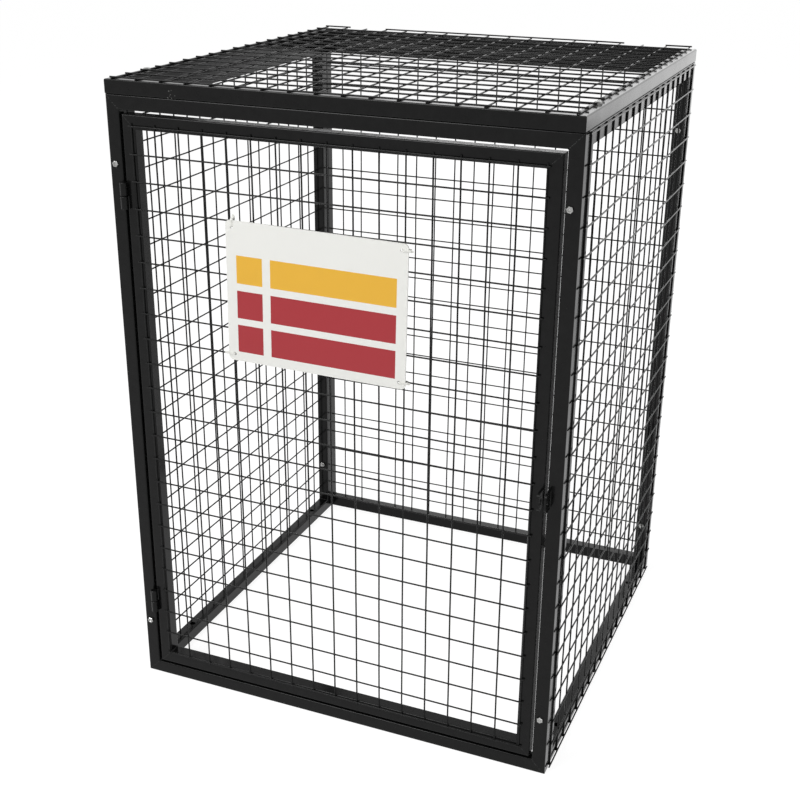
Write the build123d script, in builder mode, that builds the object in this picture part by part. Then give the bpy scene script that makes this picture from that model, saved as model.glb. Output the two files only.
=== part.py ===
from build123d import *

# A gas cylinder cage: bolted tube frames with welded wire mesh, a bolted lid and a hinged door with padlock eyes
import os
from math import cos, radians, sin, sqrt

os.makedirs("parts", exist_ok=True)

# Driving sizes of the cage, in millimetres
cage_width = 1000.0
cage_depth = 1000.0
frame_height = 1380.0

# Square tube of every frame
tube = 30.0
tube_wall = 2.0
tube_corner = 3.0

# Door in the front frame
door_gap_hinge_side = 6.0
door_gap_latch_side = 7.0
door_gap_top = 8.0
door_gap_bottom = 5.5
door_cells_across = 16
door_cells_up = 22
door_mesh_from_left = 27.0
door_mesh_from_right = 24.0
door_mesh_from_bottom = 31.0
door_mesh_from_top = 22.5
door_mesh_tip = 6.0

# Welded wire mesh
wire = 3.0
weld_bite = 0.5
mesh_tip = 12.0
side_cells_deep = 17
side_cells_up = 24
side_mesh_margin = 4.5
back_cells_across = 18
back_mesh_margin = 6.0
lid_cells_across = 17
lid_cells_deep = 18
lid_mesh_margin = 18.0
lid_tip_margin = 12.5
lid_first_row = 4.5
lid_front_margin = 1.0
lid_overhang = 5.0

# The lid's overhanging wire is in three lengths, each named by its first and last column, and two end in a stub
broken_ends = ((0, 1), (3, 14), (16, lid_cells_across))
broken_stub = 10.0

# Hinges on the left of the door
hinge_diameter = 16.0
hinge_knuckle = 28.0
hinge_washer = 1.0
hinge_pin_diameter = 9.0
hinge_pin_clearance = 0.05
hinge_pin_reach = 18.0
hinge_relief = 0.3
upper_hinge_drop = 205.0
lower_hinge_rise = 204.0

# Padlock eyes on the right of the door
ear_thickness = 5.0
ear_height = 40.0
ear_reach = 30.0
ear_round = 12.0
ear_edge = 1.5
ear_hole_diameter = 14.0
ear_hole_reach = 18.0
ear_middle = 661.0

# Anchor holes in the bottom rails of the side panels, which are alike and stand turned half round to each other
anchor_hole_diameter = 14.0
anchor_from_first_end = 142.0
anchor_from_second_end = 177.0

# Sign on the door, which hangs a little crooked
sign_width = 400.0
sign_height = 300.0
sign_thickness = 3.0
sign_corner = 10.0
sign_left = 270.0
sign_drop = 381.5
sign_tilt = 0.8
sign_hole_inset = 14.0
sign_hole_diameter = 7.0
sign_gap = 0.3

# Places worked out from the sizes above
lower_layer = wire / 2
upper_layer = wire * 1.5 - weld_bite
mesh_depth = 2 * wire - weld_bite
rear_reach = max(mesh_depth, lid_overhang + wire / 2)
front_y = ear_reach - (cage_depth + ear_reach + rear_reach) / 2
rear_y = front_y + cage_depth
left_x = -cage_width / 2
right_x = cage_width / 2
lid_z = frame_height + tube
door_width = cage_width - 2 * tube - door_gap_hinge_side - door_gap_latch_side
door_height = frame_height - 2 * tube - door_gap_bottom - door_gap_top
door_left = left_x + tube + door_gap_hinge_side
door_bottom = tube + door_gap_bottom
side_depth = cage_depth - 2 * tube

ACROSS = Vector(1, 0, 0)
DEEP = Vector(0, 1, 0)
UP = Vector(0, 0, 1)


def save(part, name):
    """Label one finished piece and write it under its own name"""
    part.label = name
    export_step(part, f"parts/{name}.step")


def frame_tube(name, corner, along, inner, length, anchors=()):
    """One hollow tube of a rectangular frame, mitred at both ends

    corner is the frame's outer corner where the tube starts, on the frame's outer face.
    along runs to the next corner, and inner points to the opening.
    The tube lies behind the outer face, on the side that inner and along span as a right hand does.
    """
    depth = inner.cross(along)
    middle = corner + (inner + depth) * (tube / 2)
    far_corner = corner + along * length
    with BuildPart() as piece:
        with BuildSketch(Plane(origin=middle, x_dir=inner, z_dir=along)):
            RectangleRounded(tube, tube, tube_corner)
            RectangleRounded(tube - 2 * tube_wall, tube - 2 * tube_wall, tube_corner - tube_wall, mode=Mode.SUBTRACT)
        extrude(amount=length)
        for reach in anchors:
            hole_centre = corner + along * reach + depth * (tube / 2)
            with BuildSketch(Plane(origin=hole_centre, x_dir=along, z_dir=inner)):
                Circle(anchor_hole_diameter / 2)
            extrude(amount=tube, mode=Mode.SUBTRACT)
        split(bisect_by=Plane(origin=corner, z_dir=along - inner), keep=Keep.TOP)
        split(bisect_by=Plane(origin=far_corner, z_dir=inner + along), keep=Keep.BOTTOM)
    save(piece.part, name)


def tube_frame(prefix, corner, across, up, width, height, sides, anchored=()):
    """Four mitred tubes round a rectangle; sides names the low, far, high and near tube"""
    corners = [
        corner,
        corner + across * width,
        corner + across * width + up * height,
        corner + up * height,
    ]
    runs = [(across, up, width), (up, -across, height), (-across, -up, width), (-up, across, height)]
    for side, start, (along, inner, length) in zip(sides, corners, runs):
        ends = (anchor_from_first_end - tube, length + tube - anchor_from_second_end)
        frame_tube(f"{prefix}_{side}", start, along, inner, length, ends if side in anchored else ())


def wires_along_x(plane, rows, span, level):
    """Square wires of one length along a plane's x, one at each row"""
    with Locations(plane):
        with Locations(*[((span[0] + span[1]) / 2, row, level) for row in rows]):
            Box(span[1] - span[0], wire, wire)


def wires_along_y(plane, columns, span, level):
    """Square wires of one length along a plane's y, one at each column"""
    with Locations(plane):
        with Locations(*[(column, (span[0] + span[1]) / 2, level) for column in columns]):
            Box(wire, span[1] - span[0], wire)


def spread(first, last, cells):
    """Evenly spaced places from first to last"""
    return [first + (last - first) * step / cells for step in range(cells + 1)]


def mesh_panel(name, plane, columns, rows, column_span, row_span):
    """Wires along the plane's y lie on it, and wires along its x lie on those, fused where they cross"""
    with BuildPart() as mesh:
        wires_along_y(plane, columns, column_span, lower_layer)
        wires_along_x(plane, rows, row_span, upper_layer)
    save(mesh.part, name)


# Front frame, which surrounds the door and carries no mesh
front_corner = Vector(left_x, front_y, 0)
tube_frame(
    "front",
    front_corner,
    ACROSS,
    UP,
    cage_width,
    frame_height,
    ("rail_bottom", "post_right", "rail_top", "post_left"),
)

# Side panels stand between the front frame and the back panel
for prefix, corner, along in (
    ("right", Vector(right_x, front_y + tube, 0), DEEP),
    ("left", Vector(left_x, rear_y - tube, 0), -DEEP),
):
    ends = ("post_rear", "post_front") if prefix == "right" else ("post_front", "post_rear")
    names = ("rail_bottom", ends[0], "rail_top", ends[1])
    tube_frame(prefix, corner, along, UP, side_depth, frame_height, names, ("rail_bottom",))

# Back panel
tube_frame(
    "back",
    Vector(right_x, rear_y, 0),
    -ACROSS,
    UP,
    cage_width,
    frame_height,
    ("rail_bottom", "post_left", "rail_top", "post_right"),
)

# Lid frame on top of all four
tube_frame(
    "lid",
    Vector(left_x, front_y, lid_z),
    ACROSS,
    DEEP,
    cage_width,
    cage_depth,
    ("rail_front", "rail_right", "rail_rear", "rail_left"),
)

# Door frame, flush with the front frame
tube_frame(
    "door",
    Vector(door_left, front_y, door_bottom),
    ACROSS,
    UP,
    door_width,
    door_height,
    ("rail_bottom", "stile_right", "rail_top", "stile_left"),
)

# Door mesh on the front of the door frame
door_face = Plane(origin=(door_left, front_y, door_bottom), x_dir=(1, 0, 0), z_dir=(0, -1, 0))
door_columns = spread(door_mesh_from_left, door_width - door_mesh_from_right, door_cells_across)
door_rows = spread(door_mesh_from_bottom, door_height - door_mesh_from_top, door_cells_up)
mesh_panel(
    "door_mesh",
    door_face,
    door_columns,
    door_rows,
    (door_rows[0] - door_mesh_tip, door_rows[-1] + door_mesh_tip),
    (door_columns[0] - door_mesh_tip, door_columns[-1] + door_mesh_tip),
)

# Side meshes on the outer faces of the side panels, each in two sheets that meet at a wire
side_columns = spread(side_mesh_margin, side_depth - side_mesh_margin, side_cells_deep)
side_rows = spread(side_mesh_margin, frame_height - side_mesh_margin, side_cells_up)
half = side_cells_up // 2
middle_z = (side_rows[half] + side_rows[half + 1]) / 2
side_span = (side_mesh_margin - mesh_tip, side_depth - side_mesh_margin + mesh_tip)
low_tip = side_mesh_margin - wire
for prefix, x, facing in (("right", right_x, 1), ("left", left_x, -1)):
    near_y = front_y + tube if facing > 0 else rear_y - tube
    face = Plane(origin=(x, near_y, 0), x_dir=(0, facing, 0), z_dir=(facing, 0, 0))
    lower = side_rows[: half + 1]
    upper = side_rows[half + 1 :]
    mesh_panel(f"{prefix}_mesh_lower", face, side_columns, lower, (low_tip, middle_z), side_span)
    mesh_panel(f"{prefix}_mesh_upper", face, side_columns, upper, (middle_z, frame_height - low_tip), side_span)

# Back mesh on the rear face of the back panel
back_face = Plane(origin=(right_x, rear_y, 0), x_dir=(-1, 0, 0), z_dir=(0, 1, 0))
back_columns = spread(back_mesh_margin, cage_width - back_mesh_margin, back_cells_across)
back_span = (low_tip, cage_width - low_tip)
mesh_panel("back_mesh_lower", back_face, back_columns, side_rows[: half + 1], (low_tip, middle_z), back_span)
mesh_panel(
    "back_mesh_upper",
    back_face,
    back_columns,
    side_rows[half + 1 :],
    (middle_z, frame_height - low_tip),
    back_span,
)

# Lid mesh, whose last wire hangs over the rear edge and has lost two stretches
lid_face = Plane(origin=(left_x, front_y, lid_z), x_dir=(1, 0, 0), z_dir=(0, 0, 1))
lid_columns = spread(lid_mesh_margin, cage_width - lid_mesh_margin, lid_cells_across)
lid_rows = spread(lid_first_row, cage_depth + lid_overhang, lid_cells_deep)
lid_tips = (lid_tip_margin, cage_width - lid_tip_margin)
rear_tip = cage_depth + lid_overhang + wire / 2
with BuildPart() as lid_mesh:
    wires_along_y(lid_face, lid_columns, (lid_front_margin, rear_tip), lower_layer)
    wires_along_x(lid_face, lid_rows[:-1], lid_tips, upper_layer)
    for first_column, last_column in broken_ends:
        start = lid_columns[first_column] - wire / 2 if first_column > 0 else lid_tips[0]
        end = lid_columns[last_column] + broken_stub if last_column < lid_cells_across else lid_tips[1]
        wires_along_x(lid_face, lid_rows[-1:], (start, end), upper_layer)
save(lid_mesh.part, "lid_mesh")

# Two weld-on barrel hinges in the gap, set opposite ways so that the door can't be lifted off
hinge_radius = hinge_diameter / 2
hinge_x = left_x + tube + door_gap_hinge_side / 2
touch_x = door_gap_hinge_side / 2 + tube_corner
touch_reach = hinge_radius + hinge_relief + tube_corner
hinge_y = front_y + tube_corner - sqrt(touch_reach**2 - touch_x**2)


def knuckle(name, bottom, pin_up, bored):
    """One knuckle of a hinge, either with its pin or bored for the other knuckle's pin"""
    with BuildPart() as piece:
        with BuildSketch(Plane(origin=(hinge_x, hinge_y, bottom))):
            Circle(hinge_radius)
        extrude(amount=hinge_knuckle)
        outer = piece.edges().filter_by(GeomType.CIRCLE)
        chamfer(outer, length=hinge_washer)
        if bored:
            mouth = bottom + hinge_knuckle if pin_up else bottom
            with BuildSketch(Plane(origin=(hinge_x, hinge_y, mouth))):
                Circle(hinge_pin_diameter / 2 + hinge_pin_clearance)
            extrude(amount=-hinge_pin_reach if pin_up else hinge_pin_reach, mode=Mode.SUBTRACT)
        else:
            with BuildSketch(Plane(origin=(hinge_x, hinge_y, bottom + hinge_knuckle if pin_up else bottom))):
                Circle(hinge_pin_diameter / 2)
            extrude(amount=hinge_pin_reach if pin_up else -hinge_pin_reach)
    save(piece.part, name)


upper_middle = frame_height - upper_hinge_drop
lower_middle = lower_hinge_rise
half_washer = hinge_washer / 2
knuckle("upper_hinge_frame_knuckle", upper_middle + half_washer, False, False)
knuckle("upper_hinge_door_knuckle", upper_middle - half_washer - hinge_knuckle, True, True)
knuckle("lower_hinge_frame_knuckle", lower_middle - half_washer - hinge_knuckle, True, False)
knuckle("lower_hinge_door_knuckle", lower_middle + half_washer, False, True)

# Padlock eyes, one welded to the frame and one to the door, with the gap between them
frame_eye_x = right_x - tube + ear_edge
door_eye_x = right_x - tube - door_gap_latch_side - ear_edge - ear_thickness
for name, x in (("padlock_eye_frame", frame_eye_x), ("padlock_eye_door", door_eye_x)):
    profile = Plane(origin=(x, front_y, ear_middle), x_dir=(0, 1, 0), z_dir=(1, 0, 0))
    with BuildPart() as eye:
        with BuildSketch(profile):
            with Locations((-ear_reach / 2, 0)):
                Rectangle(ear_reach, ear_height)
        extrude(amount=ear_thickness)
        free_corners = eye.edges().filter_by(Axis.X).group_by(Axis.Y)[0]
        fillet(free_corners, radius=ear_round)
        with BuildSketch(profile):
            with Locations((-ear_hole_reach, 0)):
                Circle(ear_hole_diameter / 2)
        extrude(amount=ear_thickness, mode=Mode.SUBTRACT)
    save(eye.part, name)

# Sign plate on the door mesh, with a hole in each corner for its ties
sign_y = front_y - mesh_depth - sign_gap
sign_centre = (left_x + sign_left + sign_width / 2, sign_y, frame_height - sign_drop)
sign_along = (cos(radians(sign_tilt)), 0, -sin(radians(sign_tilt)))
sign_plane = Plane(origin=sign_centre, x_dir=sign_along, z_dir=(0, -1, 0))
with BuildPart() as sign:
    with BuildSketch(sign_plane):
        RectangleRounded(sign_width, sign_height, sign_corner)
        with GridLocations(sign_width - 2 * sign_hole_inset, sign_height - 2 * sign_hole_inset, 2, 2):
            Circle(sign_hole_diameter / 2, mode=Mode.SUBTRACT)
    extrude(amount=sign_thickness)
save(sign.part, "sign_plate")

# Places that the record states
print("hinge axis", round(hinge_x, 3), round(hinge_y, 3))
print("front face", front_y, "rear face", rear_y)
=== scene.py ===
# %% [markdown]
# A gas cylinder cage stands in a pale studio. Its front, back, sides, lid and door are six rectangles of
# square steel tube, painted gloss black, and all but the front one carry welded wire mesh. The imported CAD
# model brings the tubes, hinges, padlock eyes and sign plate at their real sizes. This script adds what
# the eye reads as real: round wires, the small welds where they cross, bolts, weld beads, cable ties and
# paint.

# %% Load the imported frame
from math import cos, pi, radians, sin

import bmesh
import bpy
from mathutils import Euler, Matrix, Vector


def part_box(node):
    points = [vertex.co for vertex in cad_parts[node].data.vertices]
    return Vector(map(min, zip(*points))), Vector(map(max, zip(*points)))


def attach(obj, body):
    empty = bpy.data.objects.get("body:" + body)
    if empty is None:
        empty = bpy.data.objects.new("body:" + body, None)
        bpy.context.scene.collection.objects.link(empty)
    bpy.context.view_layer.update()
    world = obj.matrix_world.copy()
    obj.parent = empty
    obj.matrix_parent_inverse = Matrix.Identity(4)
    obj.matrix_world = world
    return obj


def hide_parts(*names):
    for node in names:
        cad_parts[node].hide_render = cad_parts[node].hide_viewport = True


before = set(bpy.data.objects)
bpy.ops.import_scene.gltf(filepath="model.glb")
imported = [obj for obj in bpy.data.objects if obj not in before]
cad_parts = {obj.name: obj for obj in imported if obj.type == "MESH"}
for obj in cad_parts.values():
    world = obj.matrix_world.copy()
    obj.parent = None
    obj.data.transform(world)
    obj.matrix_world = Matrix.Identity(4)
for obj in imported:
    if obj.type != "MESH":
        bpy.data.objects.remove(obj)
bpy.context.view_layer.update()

MM = 0.001

# %% [markdown]
# The camera comes first, because everything later is judged through it. Its place was found by fitting
# the corners of the cage to the photograph. Blender wants a lens in millimetres on a 36 mm wide sensor,
# and the small shift says that the picture was cropped a little off the middle of the lens.

# %% Camera at the photograph's place
PICTURE_PIXELS = 800
FOCAL_PIXELS = 1285.9
CENTRE_ACROSS_PIXELS = 393.3
CENTRE_DOWN_PIXELS = 412.1
SENSOR_WIDE = 36
FAR_LIMIT = 200
CAMERA_PLACE = Vector((1.0691, -2.6981, 1.8065))
CAMERA_AZIMUTH = radians(22.823)
CAMERA_ELEVATION = radians(22.974)
CAMERA_ROLL = radians(0.451)


def add_camera():
    """Place the camera and make it the scene's own"""
    lens = bpy.data.cameras.new("camera")
    lens.sensor_width = SENSOR_WIDE
    lens.lens = FOCAL_PIXELS / PICTURE_PIXELS * SENSOR_WIDE
    lens.shift_x = (PICTURE_PIXELS / 2 - CENTRE_ACROSS_PIXELS) / PICTURE_PIXELS
    lens.shift_y = (CENTRE_DOWN_PIXELS - PICTURE_PIXELS / 2) / PICTURE_PIXELS
    lens.clip_end = FAR_LIMIT
    camera = bpy.data.objects.new("camera", lens)
    level_view = Euler((pi / 2 - CAMERA_ELEVATION, 0, CAMERA_AZIMUTH), "XYZ").to_matrix()
    rolled_view = level_view @ Matrix.Rotation(CAMERA_ROLL, 3, "Z")
    camera.matrix_world = Matrix.Translation(CAMERA_PLACE) @ rolled_view.to_4x4()
    bpy.context.scene.collection.objects.link(camera)
    bpy.context.scene.camera = camera
    return camera


camera = add_camera()
print("lens", round(camera.data.lens, 2), "mm")

# %% [markdown]
# Shader trees and geometry trees are both made of nodes with sockets. One small helper adds a node, and
# either sets each named socket or links it, so that the later cells read like recipes.


# %% Helpers that build node trees
def set_inputs(tree, node, inputs):
    """Set or link a node's inputs, found by name or number"""
    for key, value in inputs.items():
        if isinstance(value, bpy.types.NodeSocket):
            tree.links.new(value, node.inputs[key])
        else:
            node.inputs[key].default_value = value


def add_node(tree, kind, settings=None, inputs=None):
    """Add one node with its settings and its inputs"""
    new = tree.nodes.new(kind)
    for name, value in (settings or {}).items():
        setattr(new, name, value)
    set_inputs(tree, new, inputs or {})
    return new


def math(tree, operation, first, second=0.0, third=0.0):
    """One step of arithmetic on numbers or sockets"""
    made = add_node(tree, "ShaderNodeMath", {"operation": operation}, {0: first, 1: second, 2: third})
    return made.outputs[0]


def vector_math(tree, operation, first, second, answer="Vector"):
    """One step of arithmetic on vectors, whose answer is a vector or a number"""
    made = add_node(tree, "ShaderNodeVectorMath", {"operation": operation}, {0: first, 1: second})
    return made.outputs[answer]


# %% [markdown]
# Every finish is a pattern measured in the object's own space, so it stays put from all sides. The
# helpers below start a material and draw what the finishes share: noises, ranges of values and fine
# bumps.


# %% Helpers for materials
def new_material(name):
    """A new material with its tree and its shader"""
    made = bpy.data.materials.new(name)
    made.use_nodes = True
    return made, made.node_tree, made.node_tree.nodes["Principled BSDF"]


def place_on_object(tree):
    """Where a point is, measured on the object"""
    return add_node(tree, "ShaderNodeTexCoord").outputs["Object"]


def noise(tree, place, scale, detail, roughness=0.5):
    """A soft random pattern between nothing and one"""
    inputs = {"Vector": place, "Scale": scale, "Detail": detail, "Roughness": roughness}
    return add_node(tree, "ShaderNodeTexNoise", inputs=inputs).outputs["Fac"]


def spread(tree, value, low, high, read=(0.0, 1.0)):
    """Stretch the range that is read over the range from low to high"""
    inputs = {"Value": value, "From Min": read[0], "From Max": read[1], "To Min": low, "To Max": high}
    return add_node(tree, "ShaderNodeMapRange", inputs=inputs).outputs["Result"]


def grey(tree, shade):
    """One shade for red, green and blue"""
    return add_node(tree, "ShaderNodeCombineColor", inputs={0: shade, 1: shade, 2: shade}).outputs["Color"]


def bumps(tree, height, depth, strength):
    """Fine bumps that follow a pattern"""
    inputs = {"Strength": strength, "Distance": depth, "Height": height}
    return add_node(tree, "ShaderNodeBump", inputs=inputs).outputs["Normal"]


# %% [markdown]
# The black is one stoving paint over everything, so tubes, wires and hinges share a recipe. A gloss paint
# is dark when seen straight on and pale at a grazing angle, and that contrast does most of the work here.
# A picture of worn paint could be wrapped round every tube, but noises have no seams and fit every piece.
# A faint orange peel and a slow change of gloss keep long flat tubes from looking like plastic. The
# numbers that are the same everywhere are set on the shader's own sockets, so that an exported model
# keeps them. On weld beads the paint lies thicker, and they glint a little more.

# %% Gloss black paint
PAINT_IOR = 1.245
THICK_PAINT_IOR = 1.34
BLACK = 0.004
DUSTY_BLACK = BLACK * 1.7
PATCHES = {"scale": 9.0, "detail": 3.0, "roughness": 0.55}
PATCH_RANGE = (0.3, 0.7)
DUST = {"scale": 55.0, "detail": 5.0, "roughness": 0.6}
DUST_RANGE = (0.35, 0.75)
ORANGE_PEEL = {"scale": 420.0, "detail": 2.0}
PEEL_STRENGTH = 0.35


def black_paint(name, gloss_low, gloss_high, peel_height, ior=PAINT_IOR):
    """Gloss black paint whose roughness drifts between two values, with a fine orange peel"""
    made, tree, shader = new_material(name)
    place = place_on_object(tree)
    gloss = spread(tree, noise(tree, place, **PATCHES), gloss_low, gloss_high, PATCH_RANGE)
    shade = spread(tree, noise(tree, place, **DUST), BLACK, DUSTY_BLACK, DUST_RANGE)
    peel = bumps(tree, noise(tree, place, **ORANGE_PEEL), peel_height, PEEL_STRENGTH)
    looks = {"Base Color": grey(tree, shade), "Roughness": gloss, "Normal": peel, "IOR": ior}
    set_inputs(tree, shader, looks)
    return made


# Lowest and highest roughness, and the height of the orange peel
tube_paint = black_paint("tube_paint", 0.09, 0.2, 0.06 * MM)
wire_paint = black_paint("wire_paint", 0.12, 0.24, 0.04 * MM)
fitting_paint = black_paint("fitting_paint", 0.12, 0.24, 0.08 * MM)
weld_paint = black_paint("weld_paint", 0.07, 0.18, 0.12 * MM, THICK_PAINT_IOR)
print("paints", tube_paint.name, wire_paint.name, fitting_paint.name, weld_paint.name)

# %% [markdown]
# One knock has left a few grey chips low on the front of the lid. They could be cut into the tube, but
# they are only as deep as the paint, so a change of colour is enough. That rail gets a copy of the paint
# with one more noise in it: where the noise is high, and the place is near, the primer shows.

# %% Chipped paint
CHIP_PLACE = Vector((-0.344, -0.488, 1.3875))
CHIP_REACH = 10 * MM
CHIPS = {"scale": 190.0, "detail": 2.0}
CHIP_LEVEL = 0.6
PRIMER = (0.15, 0.15, 0.145, 1)

# A Mix node has a set of sockets for each kind of data, so those for colours are picked by place
MIX_FACTOR = 0
MIX_UNDER = 6
MIX_OVER = 7
MIX_COLOUR = 2


def mixed(tree, share, under, over):
    """One colour under another, which covers it where the share is one"""
    inputs = {MIX_FACTOR: share, MIX_UNDER: under, MIX_OVER: over}
    return add_node(tree, "ShaderNodeMix", {"data_type": "RGBA"}, inputs).outputs[MIX_COLOUR]


def chipped_copy(paint, name):
    """A copy of a paint with grey chips round one place"""
    made = paint.copy()
    made.name = name
    tree = made.node_tree
    shader = tree.nodes["Principled BSDF"]
    place = place_on_object(tree)
    near = math(tree, "LESS_THAN", vector_math(tree, "DISTANCE", place, CHIP_PLACE, "Value"), CHIP_REACH)
    flaked = math(tree, "GREATER_THAN", noise(tree, place, **CHIPS), CHIP_LEVEL)
    bare = math(tree, "MULTIPLY", near, flaked)
    under = shader.inputs["Base Color"].links[0].from_socket
    set_inputs(tree, shader, {"Base Color": mixed(tree, bare, under, PRIMER)})
    return made


chipped_paint = chipped_copy(tube_paint, "chipped_paint")
print("chips within", round(CHIP_REACH / MM), "mm of", [round(value, 3) for value in CHIP_PLACE])

# %% [markdown]
# The bolts are bright zinc, which is a soft grey metal with a faint mottle. The cable ties are white
# nylon, a plastic with hardly any pattern. Both are small, so a plain colour would nearly do, and one
# noise in each keeps them from looking flat close up.

# %% Zinc and nylon
ZINC_TONES = ((0.2, 0.2, 0.196, 1), (0.52, 0.52, 0.51, 1))
ZINC_GLOSS = (0.16, 0.34)
MOTTLE = {"scale": 260.0, "detail": 4.0}
NYLON_TONES = ((0.7, 0.7, 0.66, 1), (0.82, 0.82, 0.78, 1))
NYLON_GLOSS = 0.38
CLOUD = {"scale": 120.0, "detail": 2.0}


def between(tree, value, tones):
    """A colour between two tones"""
    ramp = add_node(tree, "ShaderNodeValToRGB", inputs={"Fac": value})
    for stop, tone in zip(ramp.color_ramp.elements, tones):
        stop.color = tone
    return ramp.outputs["Color"]


def zinc_plate():
    """Zinc plated steel with a faint mottle in its gloss"""
    made, tree, shader = new_material("zinc_plate")
    mottle = noise(tree, place_on_object(tree), **MOTTLE)
    gloss = spread(tree, mottle, *ZINC_GLOSS)
    looks = {"Base Color": between(tree, mottle, ZINC_TONES), "Roughness": gloss, "Metallic": 1.0}
    set_inputs(tree, shader, looks)
    return made


def white_nylon():
    """White nylon of a cable tie"""
    made, tree, shader = new_material("white_nylon")
    cloud = noise(tree, place_on_object(tree), **CLOUD)
    set_inputs(tree, shader, {"Base Color": between(tree, cloud, NYLON_TONES), "Roughness": NYLON_GLOSS})
    return made


zinc = zinc_plate()
nylon = white_nylon()
print("small materials", zinc.name, nylon.name)

# %% [markdown]
# The sign is a white plastic plate with three wide colour bands and three small squares beside them.
# Nothing is written on it. The print could be thin sheets laid on the plate, but ink has no thickness, so
# the material draws it: each patch is a rectangle measured from the plate's centre, and the shader asks
# whether a point lies inside it. The plate hangs where the CAD node says, so its centre is read from
# there. It hangs a little crooked, as ties leave a plate, and the print turns with it.

# %% Places and inks of the sign's bands
sign_low, sign_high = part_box("sign_plate")
sign_centre = (sign_low + sign_high) / 2
SIGN_TILT = radians(0.8)
SIGN_ACROSS = Vector((cos(SIGN_TILT), 0, -sin(SIGN_TILT)))
SIGN_UP = Vector((sin(SIGN_TILT), 0, cos(SIGN_TILT)))
SIGN_OUT = Vector((0, -1, 0))
PRINT_LEVEL = 0.5 * MM
PRINT_YELLOW = (0.78, 0.43, 0.03, 1)
PRINT_RED = (0.36, 0.014, 0.022, 1)
BANDS = ((78.5 * MM, PRINT_YELLOW), (3.6 * MM, PRINT_RED), (-70.2 * MM, PRINT_RED))
BAND_HEIGHT = 59.2 * MM
SQUARE_ENDS = (-177 * MM, -118 * MM)
STRIPE_ENDS = (-99.8 * MM, 177.5 * MM)
print("sign centre", [round(value, 4) for value in sign_centre])

# %% [markdown]
# A patch is where two spans cross, one across the plate and one up it. The six patches are laid over the
# white one after the other, and a fine grain of moulded plastic goes over all of them. Only the front is
# printed, so the back of the plate stays white.

# %% Sign with plain colour bands
PLATE_WHITE = (0.82, 0.82, 0.785, 1)
PLATE_GLOSS = 0.36
PLATE_GRAIN = {"scale": 700.0, "detail": 2.0}
GRAIN_DEPTH = 0.03 * MM
GRAIN_STRENGTH = 0.2


def inside_span(tree, value, low, high):
    """One where a value lies between two limits, and nothing elsewhere"""
    off_middle = math(tree, "ABSOLUTE", math(tree, "SUBTRACT", value, (low + high) / 2))
    return math(tree, "LESS_THAN", off_middle, (high - low) / 2)


def printed_plate():
    """White plastic with a yellow band over two red ones, each with a square beside it"""
    made, tree, shader = new_material("printed_plate")
    place = place_on_object(tree)
    centred = vector_math(tree, "SUBTRACT", place, sign_centre)
    axes = (SIGN_ACROSS, SIGN_UP, SIGN_OUT)
    across, up, out = [vector_math(tree, "DOT_PRODUCT", centred, axis, "Value") for axis in axes]
    front = math(tree, "GREATER_THAN", out, PRINT_LEVEL)
    colour = PLATE_WHITE
    for top, ink in BANDS:
        in_band = inside_span(tree, up, top - BAND_HEIGHT, top)
        for left, right in (STRIPE_ENDS, SQUARE_ENDS):
            patch = math(tree, "MULTIPLY", inside_span(tree, across, left, right), in_band)
            colour = mixed(tree, math(tree, "MULTIPLY", patch, front), colour, ink)
    grain = bumps(tree, noise(tree, place, **PLATE_GRAIN), GRAIN_DEPTH, GRAIN_STRENGTH)
    set_inputs(tree, shader, {"Base Color": colour, "Roughness": PLATE_GLOSS, "Normal": grain})
    return made


sign_print = printed_plate()
print("sign print has", len(sign_print.node_tree.nodes), "nodes")

# %% [markdown]
# Every CAD piece that stays gets its finish now. Tubes, hinges, padlock eyes and the sign plate could be
# modelled again here, but their CAD shapes already have the real corners. They stay as they are, and only
# their material slots are filled.

# %% Finishes of the CAD pieces
for node_name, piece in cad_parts.items():
    if node_name == "sign_plate":
        finish = sign_print
    elif node_name == "lid_rail_front":
        finish = chipped_paint
    elif "knuckle" in node_name or "padlock" in node_name:
        finish = fitting_paint
    elif "mesh" in node_name:
        finish = wire_paint
    else:
        finish = tube_paint
    piece.data.materials.clear()
    piece.data.materials.append(finish)
print("finished", len(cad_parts), "CAD pieces")

# %% [markdown]
# Wires, welds, bolts, weld beads and ties all repeat. A loop could place them one by one, but a Geometry
# Nodes tree makes a whole row at once. A tree is a small machine with named inputs. The helpers below
# open a tree and close it, run it once on an empty mesh and keep the plain mesh that comes out, so that
# nothing procedural is left on the finished piece.


# %% Helpers that open, close and run geometry trees
def new_tree(name, sockets):
    """Start a geometry tree with named inputs, and return it with its input and output nodes"""
    tree = bpy.data.node_groups.new(name, "GeometryNodeTree")
    for socket_name, kind in sockets.items():
        tree.interface.new_socket(socket_name, in_out="INPUT", socket_type="NodeSocket" + kind)
    tree.interface.new_socket("Geometry", in_out="OUTPUT", socket_type="NodeSocketGeometry")
    return tree, tree.nodes.new("NodeGroupInput").outputs, tree.nodes.new("NodeGroupOutput").inputs


def realized(tree, shape):
    """Real geometry in the place of copies"""
    return add_node(tree, "GeometryNodeRealizeInstances", inputs={0: shape}).outputs[0]


def close_tree(tree, shape, paint, out):
    """End a tree as every tree here ends: real geometry with one material"""
    inputs = {"Geometry": realized(tree, shape), "Material": paint}
    painted = add_node(tree, "GeometryNodeSetMaterial", inputs=inputs)
    tree.links.new(painted.outputs[0], out["Geometry"])


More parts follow.
